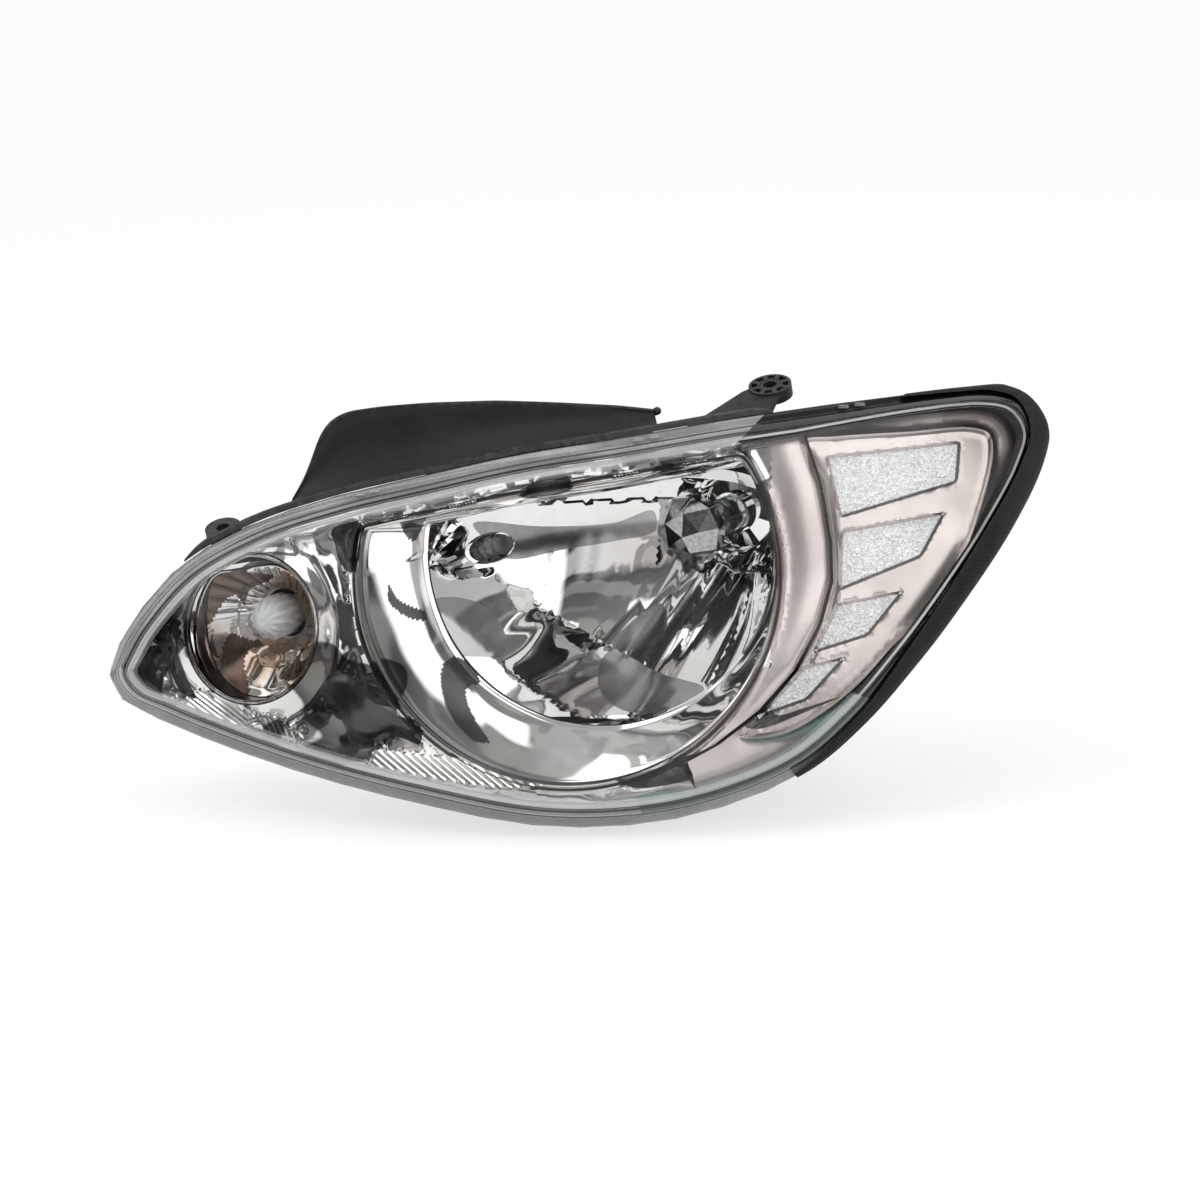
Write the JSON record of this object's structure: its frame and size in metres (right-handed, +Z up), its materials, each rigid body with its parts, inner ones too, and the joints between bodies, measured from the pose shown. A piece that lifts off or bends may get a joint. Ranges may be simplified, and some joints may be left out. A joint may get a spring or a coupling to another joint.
{
  "type": "car headlight assembly",
  "caption": "Swept left-hand car headlamp: clear wraparound cover, chrome bezel with tilting main reflector, turn lamp bowl and frosted side windows in a black housing.",
  "frame": {"origin": "centre of the whole lamp's box", "axes": "+Z up, -Y the way the beams shine, +X towards the outer side of the car"},
  "size_m": [0.3731, 0.3196, 0.2036],
  "materials": {
    "black_housing": "satin",
    "clear_cover": "clear",
    "bright_bezel": "mirror",
    "bright_garnish": "mirror",
    "reflector_coating": "mirror",
    "seal_rubber": "matte",
    "sealant": "matte",
    "bulb_glass": "clear",
    "plated_steel": "plated",
    "tungsten": "dull",
    "brass": "plated",
    "nylon": "natural",
    "grey_plastic": "satin",
    "black_plastic": "satin",
    "wire_insulation": "matte"
  },
  "bodies": {
    "housing": {"rear_housing": "black_housing", "lens_cover": "clear_cover", "lens_sealant": "sealant", "edge_gasket": "seal_rubber", "top_deflector": "black_housing", "bezel": "bright_bezel", "outer_garnish": "bright_garnish", "turn_reflector": "reflector_coating", "pivot_stud": "plated_steel", "level_motor": "grey_plastic", "motor_seal": "seal_rubber", "harness_connector": "black_plastic", "connector_pin_1": "brass", "connector_pin_2": "brass", "connector_pin_3": "brass", "connector_pin_4": "brass", "vent_elbow_1": "seal_rubber", "vent_elbow_2": "seal_rubber", "ear_sleeve": "plated_steel", "bezel_screw_1": "plated_steel", "bezel_screw_2": "plated_steel", "access_cap_seal": "seal_rubber"},
    "pivot_joint": {"pivot_socket": "nylon"},
    "reflector": {"main_reflector": "reflector_coating", "aim_socket": "nylon", "level_socket": "nylon", "bulb_shield": "reflector_coating", "shield_rivet": "plated_steel", "main_bulb_base": "plated_steel", "main_bulb_glass": "bulb_glass", "high_beam_filament": "tungsten", "low_beam_filament": "tungsten", "low_beam_cup": "plated_steel", "bulb_terminal_1": "brass", "bulb_terminal_2": "brass", "bulb_terminal_3": "brass", "bulb_plug": "black_plastic", "bulb_lead_1": "wire_insulation", "bulb_lead_2": "wire_insulation", "bulb_lead_3": "wire_insulation"},
    "clip": {"bulb_clip": "plated_steel"},
    "position_lamp": {"position_socket": "grey_plastic", "position_bulb": "bulb_glass"},
    "level_pushrod": {"level_shaft": "nylon"},
    "height_wheel": {"level_wheel": "nylon"},
    "aim_pushrod": {"aim_stud": "nylon"},
    "side_wheel": {"aim_wheel": "nylon"},
    "cap": {"access_cap": "black_plastic"},
    "turn_lampholder": {"turn_socket": "black_plastic", "turn_socket_seal": "seal_rubber"},
    "turn_lamp_bulb": {"turn_bulb_base": "brass", "turn_bulb_glass": "bulb_glass", "turn_filament": "tungsten"}
  },
  "joints": [
    {"name": "height_wheel_spin", "type": "hinge", "parent": "housing", "child": "height_wheel", "pos_m": [-0.03779, 0.12241, -0.04965], "axis": [0, 1, 0], "range_deg": [-580, 580]},
    {"name": "level_shaft_slide", "type": "slide", "parent": "housing", "child": "level_pushrod", "axis": [0, 1, 0], "range_m": [-0.00325, 0.00325]},
    {"name": "reflector_tilt", "type": "hinge", "parent": "housing", "child": "pivot_joint", "pos_m": [-0.03779, 0.05042, 0.04235], "axis": [1, 0, 0], "range_deg": [-2, 2]},
    {"name": "side_wheel_spin", "type": "hinge", "parent": "housing", "child": "side_wheel", "pos_m": [0.10921, 0.10292, 0.04235], "axis": [0, 1, 0], "range_deg": [-695, 695]},
    {"name": "aim_stud_slide", "type": "slide", "parent": "housing", "child": "aim_pushrod", "axis": [0, 1, 0], "range_m": [-0.0039, 0.0039]},
    {"name": "reflector_aim", "type": "hinge", "parent": "pivot_joint", "child": "reflector", "pos_m": [-0.03779, 0.05042, 0.04235], "axis": [0, 0, 1], "range_deg": [-1.5, 1.5]},
    {"name": "bulb_clip_open", "type": "hinge", "parent": "reflector", "child": "clip", "pos_m": [0.02871, 0.06852, 0.03085], "axis": [0, 0, 1], "range_deg": [0, 80]},
    {"name": "position_socket_pull", "type": "slide", "parent": "reflector", "child": "position_lamp", "axis": [0, 1, 0], "range_m": [0, 0.022]},
    {"name": "access_cap_turn", "type": "hinge", "parent": "housing", "child": "cap", "pos_m": [0.05571, 0.09942, 0.03085], "axis": [0, 1, 0], "range_deg": [-38, 0]},
    {"name": "turn_socket_turn", "type": "hinge", "parent": "housing", "child": "turn_lampholder", "pos_m": [-0.10379, -0.07581, -0.00465], "axis": [0, 1, 0], "range_deg": [-45, 0]},
    {"name": "turn_bulb_twist", "type": "hinge", "parent": "turn_lampholder", "child": "turn_lamp_bulb", "pos_m": [-0.10379, -0.09609, -0.00465], "axis": [0, 1, 0], "range_deg": [-20, 0]}
  ],
  "couplings": [
    {"joint": "level_shaft_slide", "follows": "reflector_tilt", "m_per_rad": 0.092},
    {"joint": "height_wheel_spin", "follows": "reflector_tilt", "ratio": 289.03},
    {"joint": "aim_stud_slide", "follows": "reflector_aim", "m_per_rad": 0.147},
    {"joint": "side_wheel_spin", "follows": "reflector_aim", "ratio": 461.81}
  ]
}
